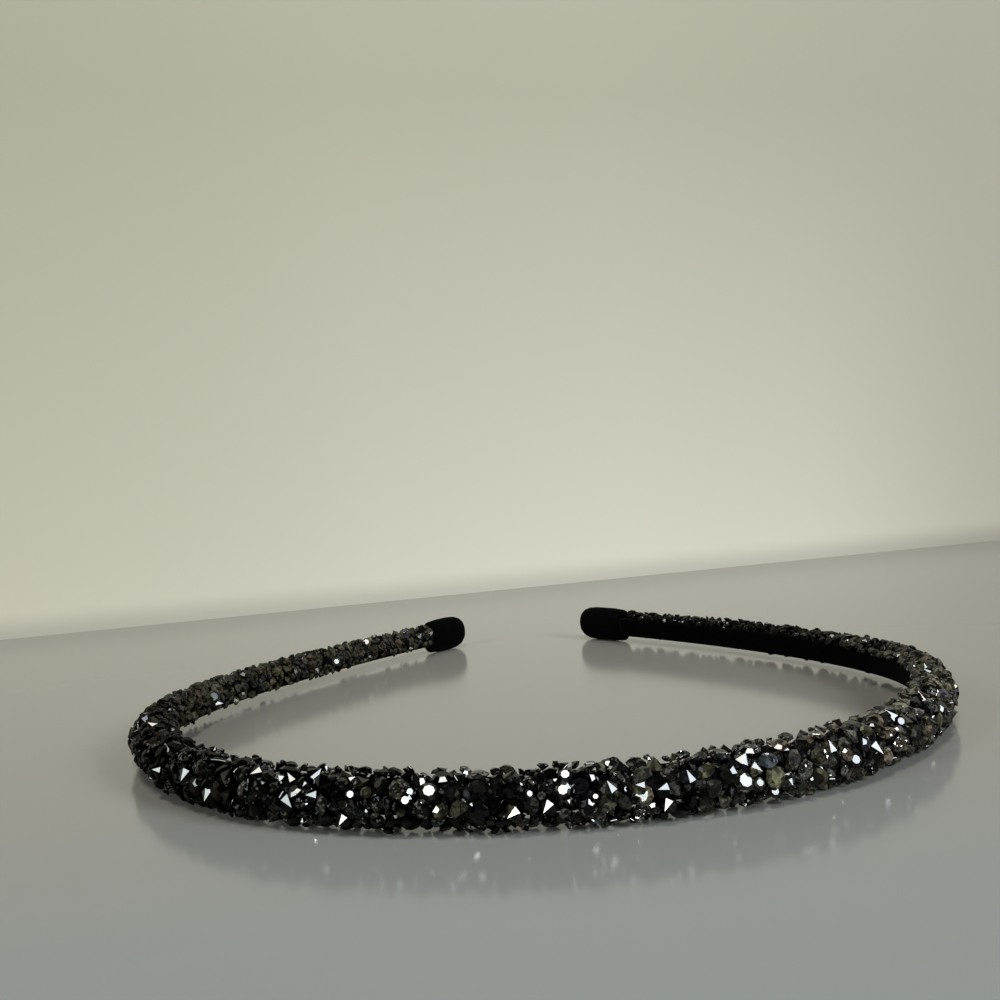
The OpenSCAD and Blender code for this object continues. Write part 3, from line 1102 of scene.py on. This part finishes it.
shade = mapped(pile_group, pile_noise(BRUSHED, 2), *BRUSHED_RANGE, *BRUSHED_SHADES)
fibres = pile_noise(pile_in["Fibres"], 3)
feed(pile_group, pile_out, Colour=scaled(pile_group, pile_in["Base"], shade), Height=fibres)


def velvet(name):
    """Matt black pile with a trace of sheen at grazing angles."""
    made, tree, shader = material(name)
    place = node(tree, "ShaderNodeTexCoord").outputs["Object"]
    pile = node(tree, "ShaderNodeGroup", {"Place": place}, node_tree=pile_group).outputs
    bump = node(tree, "ShaderNodeBump", {"Height": pile["Height"], "Strength": 0.6, "Distance": BUMP_DEPTH})
    feed(
        tree,
        shader,
        Base_Color=pile["Colour"],
        Roughness=0.95,
        Specular_IOR_Level=0.02,
        Sheen_Weight=0.008,
        Sheen_Roughness=0.5,
        Normal=bump.outputs["Normal"],
    )
    return made


lining_finish = velvet("lining_velvet")
tip_finish = velvet("tip_velvet")

# %% [markdown]
# ## Swept pieces
# The lining, the caps and the core are all the same kind of shape: a ring of corners carried along the
# middle line. One function joins any stack of rings and closes both ends. It also writes a UV map in
# metres, along the line and round the ring, for patterns that have to follow the surface.

# %% Sweep
def rings_of(s, deep, wide):
    """A ring of points for each way s, from its rows of depths and widths."""
    return in_section(np.repeat(s[:, None], deep.shape[1], axis=1), deep, wide)


def sweep(name, rings, ways, finish):
    """A closed piece through rings of equal count: quads between neighbouring rings, and a fan of
    triangles to the middle of the first and the last ring. A corner's UV is its ring's way and the
    length round the middle ring up to it."""
    rounds, count, _ = rings.shape
    points = np.concatenate([rings.reshape(-1, 3), rings[:1].mean(axis=1), rings[-1:].mean(axis=1)])
    j = np.arange(count)
    k = (j + 1) % count
    starts = count * np.arange(rounds - 1)[:, None]
    quads = np.stack([starts + j, starts + k, starts + k + count, starts + j + count], axis=-1).reshape(-1, 4)
    last = (rounds - 1) * count
    fans = np.concatenate([
        np.stack([k, j, np.full(count, rounds * count)], axis=1),
        np.stack([last + j, last + k, np.full(count, rounds * count + 1)], axis=1),
    ])
    piece = mesh_from_faces(name, points, [quads, fans], finish, smooth=True)
    middle_ring = rings[rounds // 2]
    spans = np.linalg.norm(np.roll(middle_ring, -1, axis=0) - middle_ring, axis=1)
    round_at = np.concatenate([[0], np.cumsum(spans)])
    u = np.stack([ways[:-1], ways[:-1], ways[1:], ways[1:]], axis=1)[:, None].repeat(count, axis=1)
    v = np.stack([round_at[j], round_at[j + 1], round_at[j + 1], round_at[j]], axis=1)
    v = v[None].repeat(rounds - 1, axis=0)
    uv = np.concatenate([np.stack([u, v], axis=-1).reshape(-1, 2), np.zeros((fans.size, 2))])
    piece.data.uv_layers.new(name="UVMap").data.foreach_set("uv", uv.astype(np.float32).ravel())
    print(name, "has", len(piece.data.polygons), "faces")
    return piece


# %% [markdown]
# ## The lining
# The velvet strip is glued to the flat inner side of the core and rolls with it. On the real headband it
# could also be woven with two pile edges, but in the photo it is one plain strip. Its section is a
# rectangle with soft corners: the cosine and the sine of an angle, each raised to a small power.

# %% Lining
LINING_RINGS = 420
LINING_CORNERS = 32
SOFTNESS = 0.28


def soft_box(v):
    """Keeps the sign and pushes the value towards 1, which squares a circle off."""
    return np.sign(v) * np.abs(v) ** SOFTNESS


s = np.linspace(LEFT_CAP + GAP - HALF_LENGTH, HALF_LENGTH - RIGHT_CAP - GAP, LINING_RINGS)
turn = ring_turns(LINING_CORNERS, 0.5)
lining_deep = -core_half(s)[0] * FLAT_SHARE - GAP - LINING_THICK / 2
deep = lining_deep[:, None] - LINING_THICK / 2 * soft_box(np.cos(turn))
wide = (LINING_WIDTH / 2 * taper(s, LINING))[:, None] * soft_box(np.sin(turn))
belongs(sweep("velvet_lining", rings_of(s, deep, wide), s, lining_finish), "lining_velvet", "lining")

# %% [markdown]
# ## The caps
# Each cap is a velvet pocket pulled over the end of the band. A closed lump would look the same from
# outside, but then the core would run into it. So its rings run from the closed end to the mouth, turn
# in there and run back inside, round the core, and the pocket has a real wall.

# %% Caps
CAP_HEIGHT = 0.0073
CAP_THICK = 0.0046
END_WAY = (0, 0.00045, 0.0013, 0.0026, 0.0044)
END_HEIGHT = (0.36, 0.62, 0.82, 0.95, 1)
END_THICKNESS = (0.34, 0.58, 0.78, 0.92, 1)
MOUTH_WAY = (0, 0.0004, 0.003)
MOUTH_HEIGHT = (0.90, 0.94, 1)
MOUTH_THICKNESS = (0.88, 0.94, 1)
CORE_SHORT = 0.0035
CAP_CORNERS = 48
CAP_RINGS = 40
END_CROWDING = 1.5
SOCKET_RINGS = 8


def core_rings(s, corners, room=0.0):
    """Rings round the core, an oval cut flat on the lining's side, with some room all round."""
    half_t, half_h = (half[:, None] for half in core_half(s))
    turn = ring_turns(corners)
    deep = np.maximum((half_t + room) * np.cos(turn), -half_t * FLAT_SHARE - room)
    return rings_of(s, deep, (half_h + room) * np.sin(turn))


def cap(side, length, name, solid):
    """A pocket: rings run from its closed end to its mouth, turn in, and run back round the core. Each
    ring's height is the cap's height times its share at the end, times its share at the mouth."""
    turn = ring_turns(CAP_CORNERS)
    way_out = np.linspace(0, 1, CAP_RINGS) ** END_CROWDING * length
    way_in = length - way_out
    high = CAP_HEIGHT / 2 * np.interp(way_out, END_WAY, END_HEIGHT)
    high = high * np.interp(way_in, MOUTH_WAY, MOUTH_HEIGHT)
    thick = CAP_THICK / 2 * np.interp(way_out, END_WAY, END_THICKNESS)
    thick = thick * np.interp(way_in, MOUTH_WAY, MOUTH_THICKNESS)
    s = side * (HALF_LENGTH - way_out)
    middle = LINE_START + at(s)
    middle[:, 2] = CAP_HEIGHT / 2
    level = outward(s)[:, None] * (thick[:, None] * np.cos(turn))[..., None]
    shell = middle[:, None] + level + UP * (high[:, None] * np.sin(turn))[..., None]
    inner = side * np.linspace(HALF_LENGTH - length, HALF_LENGTH - CORE_SHORT + 2 * GAP, SOCKET_RINGS)
    rings = np.concatenate([shell, core_rings(inner, CAP_CORNERS, GAP)])
    if side > 0:
        rings = rings[:, ::-1]
    belongs(sweep(name, rings, np.concatenate([s, inner]), tip_finish), "tip_velvet", solid)


cap(-1, LEFT_CAP, "velvet_cap_left", "tip_left")
cap(1, RIGHT_CAP, "velvet_cap_right", "tip_right")

# %% [markdown]
# ## The core
# The core is wrapped in thin black cloth, and shows only as a dark ground in the chinks between stones.
# A plain weave is a checkerboard: on every other square the thread that runs along is on top, and on the
# rest the thread that runs across. Each thread is a bump as wide as a square, and its colour carries
# painted shade: darker in the hollows between threads, lighter on its crown. Modelled threads would be
# finer than anything that shows, so a pattern is enough.

# %% Weave
THREAD_SHADES = (0.5, 1.3)
weave_group, weave_in, weave_out = effect(
    "Plain weave",
    {"Place": ("Vector", None), "Thread": ("Float", 0.0003), "Base": ("Color", (0.0012, 0.0012, 0.0013, 1))},
    {"Colour": "Color", "Height": "Float"},
)
per_thread = arithmetic(weave_group, "DIVIDE", 1.0, weave_in["Thread"])
squares = scaled(weave_group, weave_in["Place"], per_thread)
checks = node(weave_group, "ShaderNodeTexChecker", {"Vector": squares, "Scale": 1.0}).outputs["Fac"]
apart = node(weave_group, "ShaderNodeSeparateXYZ", {"Vector": squares}).outputs
humps = []
for direction_name in ("X", "Y"):
    half_turns = arithmetic(weave_group, "MULTIPLY", apart[direction_name], np.pi)
    humps.append(arithmetic(weave_group, "ABSOLUTE", arithmetic(weave_group, "SINE", half_turns)))
choice = {"Factor": checks, "A": humps[0], "B": humps[1]}
on_top = node(weave_group, "ShaderNodeMix", choice, data_type="FLOAT").outputs["Result"]
# Painted shade: darker in the hollows between threads, lighter on their crowns.
hollow_shade = mapped(weave_group, on_top, 0, 1, *THREAD_SHADES)
feed(weave_group, weave_out, Colour=scaled(weave_group, weave_in["Base"], hollow_shade), Height=on_top)
print("nodes in the weave group:", len(weave_group.nodes))

# %% Core
CORE_RINGS = 360
CORE_CORNERS = 32


def cloth():
    """Black woven cloth that follows the core's UV map."""
    made, tree, shader = material("band_cloth")
    surface = node(tree, "ShaderNodeUVMap", uv_map="UVMap").outputs["UV"]
    weave = node(tree, "ShaderNodeGroup", {"Place": surface}, node_tree=weave_group).outputs
    bump = node(tree, "ShaderNodeBump", {"Height": weave["Height"], "Strength": 0.5, "Distance": BUMP_DEPTH})
    feed(
        tree,
        shader,
        Base_Color=weave["Colour"],
        Roughness=0.85,
        Specular_IOR_Level=0.2,
        Normal=bump.outputs["Normal"],
    )
    return made


s = np.linspace(-1, 1, CORE_RINGS) * (HALF_LENGTH - CORE_SHORT)
belongs(sweep("band_core", core_rings(s, CORE_CORNERS), s, cloth()), "band_cloth", "band")

# %% [markdown]
# ## Table and wall
# The headband lies on a smooth pale table in front of a pale wall. The table has a soft gloss, so it
# shows a dim copy of the band, and its colour carries a painted cast of light, cool near the front and
# warm further back. The wall carries a painted pool of light: it is paler near its foot and glows most
# in its middle. In the photo the seam between the two is out of focus, so a painted soft shade along the
# wall's foot blurs it here. The wall's back lets everything through, so that a camera behind it still
# sees the headband.

# %% Table and wall values
TABLE_HALF = 3.0
# Painted cast of light on the table: cool near the front, warm further back.
TABLE_NEAR_COOL_CAST = (0.182, 0.209, 0.214, 1)
TABLE_FAR_WARM_CAST = (0.216, 0.206, 0.184, 1)
NEAR_AT = -0.16
FAR_AT = -0.02
TABLE_IN_STONES = (0.35, 0.35, 0.35, 1)
WALL_HALF = 1.5
WALL_HEIGHT = 0.30
WALL_FOOT = ((0, 640), (1000, 540))
WALL_FADE = 0.15
WALL_CURVE = 0.7
# Painted pool of light on the wall: lit at the foot, less lit above, shaded to the sides.
WALL_LIT_AT_FOOT = (0.608, 0.575, 0.482, 1)
WALL_LESS_LIT_ABOVE = (0.352, 0.332, 0.266, 1)
WALL_SIDE_SHADE = (0.92, 0.90, 0.89, 1)
SIDES_FROM = 0.04
SIDES_TO = 0.16
GLOW_LEFT = (-0.11, 0.03, 0.75, 1)
GLOW_RIGHT = (0.09, 0.19, 1, 0.35)
FOOT_SHADE = 0.74
FOOT_SHADE_HEIGHT = 0.008
ONE_FACE = [np.array([[0, 1, 2, 3]])]


# %% Their finishes
def coordinates(tree):
    """The X, Y and Z of the place on the piece."""
    place = node(tree, "ShaderNodeTexCoord").outputs["Object"]
    return node(tree, "ShaderNodeSeparateXYZ", {"Vector": place}).outputs


def table_finish():
    """Pale, smooth and softly glossy, with a painted cast of light: a little cooler towards the near edge
    and warmer further back. To a ray that comes from a mirror it is darker, as if dark cards stood just
    outside the picture, so the stones keep their blacks."""
    made, tree, shader = material("table")
    share = mapped(tree, coordinates(tree)["Y"], NEAR_AT, FAR_AT, 0, 1)
    mirrored = node(tree, "ShaderNodeLightPath").outputs["Is Glossy Ray"]
    # Painted cast of light: cool near the front, warm further back.
    painted_light = mixed(tree, share, TABLE_NEAR_COOL_CAST, TABLE_FAR_WARM_CAST)
    feed(tree, shader, Base_Color=mixed(tree, mirrored, painted_light, TABLE_IN_STONES, "MULTIPLY"), Roughness=0.15)
    return made


def wall_finish():
    """Matt wall whose colour carries a painted pool of light: palest along its foot, darker with the height,
    raised to a small power, and towards both sides, with a painted soft shade right at the foot. Seen from
    behind it is not there."""
    made, tree, shader = material("wall")
    apart = coordinates(tree)
    # Painted pool of light: lightest at the foot and in the middle, darker higher up and to the sides.
    fade = arithmetic(tree, "POWER", mapped(tree, apart["Z"], 0, WALL_FADE, 0, 1), WALL_CURVE)
    glow = arithmetic(tree, "SUBTRACT", 1.0, fade)
    for values in (GLOW_LEFT, GLOW_RIGHT):
        glow = arithmetic(tree, "MULTIPLY", glow, mapped(tree, apart["X"], *values, "SMOOTHSTEP"))
    painted_light = mixed(tree, glow, WALL_LESS_LIT_ABOVE, WALL_LIT_AT_FOOT)
    sides = mapped(tree, arithmetic(tree, "ABSOLUTE", apart["X"]), SIDES_FROM, SIDES_TO, 0, 1)
    shaded = mixed(tree, sides, painted_light, WALL_SIDE_SHADE, "MULTIPLY")
    low = mapped(tree, apart["Z"], 0, FOOT_SHADE_HEIGHT, FOOT_SHADE, 1, "SMOOTHSTEP")
    from_behind = node(tree, "ShaderNodeNewGeometry").outputs["Backfacing"]
    in_front = arithmetic(tree, "SUBTRACT", 1.0, from_behind)
    feed(tree, shader, Base_Color=scaled(tree, shaded, low), Roughness=0.9, Alpha=in_front)
    return made


# %% Table and wall
table_points = TABLE_HALF * np.array([[-1, -1, 0], [1, -1, 0], [1, 1, 0], [-1, 1, 0]])
table = mesh_from_faces("table", table_points, ONE_FACE, table_finish())
foot_left, foot_right = (point_on_table(*pixel) for pixel in WALL_FOOT)
run = (foot_right - foot_left).normalized() * WALL_HALF
centre = (foot_left + foot_right) / 2
rise = Vector((0, 0, WALL_HEIGHT))
wall_points = np.array([centre - run, centre + run, centre + run + rise, centre - run + rise])
wall = mesh_from_faces("wall", wall_points, ONE_FACE, wall_finish())
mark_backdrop(table, wall)
print("the wall stands", round(centre.y, 3), "m behind the middle")

# %% [markdown]
# ## Light
# The lamps are lit at the places that were settled for them. Each is lit twice: once for the headband,
# whose stones mirror it, and once for the table and the wall, whose gloss doesn't show it, as a white
# patch on the table would outshine the stones. The room around is dim, and only the camera sees it pale,
# where a view reaches past the table.

# %% Lights
DIM_ROOM = (0.020, 0.020, 0.019, 1)
ROOM_TO_CAMERA = (0.50, 0.50, 0.42, 1)


def light_lamp(name, lit, mirrored, azimuth, elevation, distance, width, height, radiance, colour):
    """A rectangular light that faces the middle of the headband and lights only the objects in lit. Its
    power is its radiance times its area times pi."""
    light = bpy.data.lights.new(name, "AREA")
    light.shape = "RECTANGLE"
    light.size = width
    light.size_y = height
    light.energy = radiance * width * height * np.pi
    light.color = colour
    lamp = bpy.data.objects.new(name, light)
    place = lamp_place(azimuth, elevation, distance)
    lamp.location = place
    lamp.rotation_euler = place.to_track_quat("Z", "Y").to_euler()
    lamp.visible_camera = False
    lamp.visible_glossy = mirrored
    lamp.light_linking.receiver_collection = lit
    bpy.context.scene.collection.objects.link(lamp)
    print(name, "has", round(light.energy, 2), "W")


of_headband = bpy.data.collections.new("headband")
of_stage = bpy.data.collections.new("stage")
for thing in bpy.context.scene.objects:
    if thing.type == "MESH":
        (of_stage if thing in (table, wall) else of_headband).objects.link(thing)
for name, values in LAMPS.items():
    light_lamp(name, of_headband, True, *values)
    light_lamp(name + "_on_stage", of_stage, False, *values)

world = bpy.data.worlds.new("room")
world.use_nodes = True
bpy.context.scene.world = world
sky = world.node_tree
sky.nodes.clear()
dim = node(sky, "ShaderNodeBackground", {"Color": DIM_ROOM}).outputs[0]
pale = node(sky, "ShaderNodeBackground", {"Color": ROOM_TO_CAMERA}).outputs[0]
to_camera = node(sky, "ShaderNodeLightPath").outputs["Is Camera Ray"]
seen = node(sky, "ShaderNodeMixShader", {0: to_camera, 1: dim, 2: pale})
node(sky, "ShaderNodeOutputWorld", {"Surface": seen.outputs[0]})
bpy.context.scene.view_settings.view_transform = "Standard"

# %% Measure the size
low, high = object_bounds()
for name, size in (("CAD", cad_high - cad_low), ("visual", high - low)):
    print(name, "size:", [round(v, 5) for v in size])
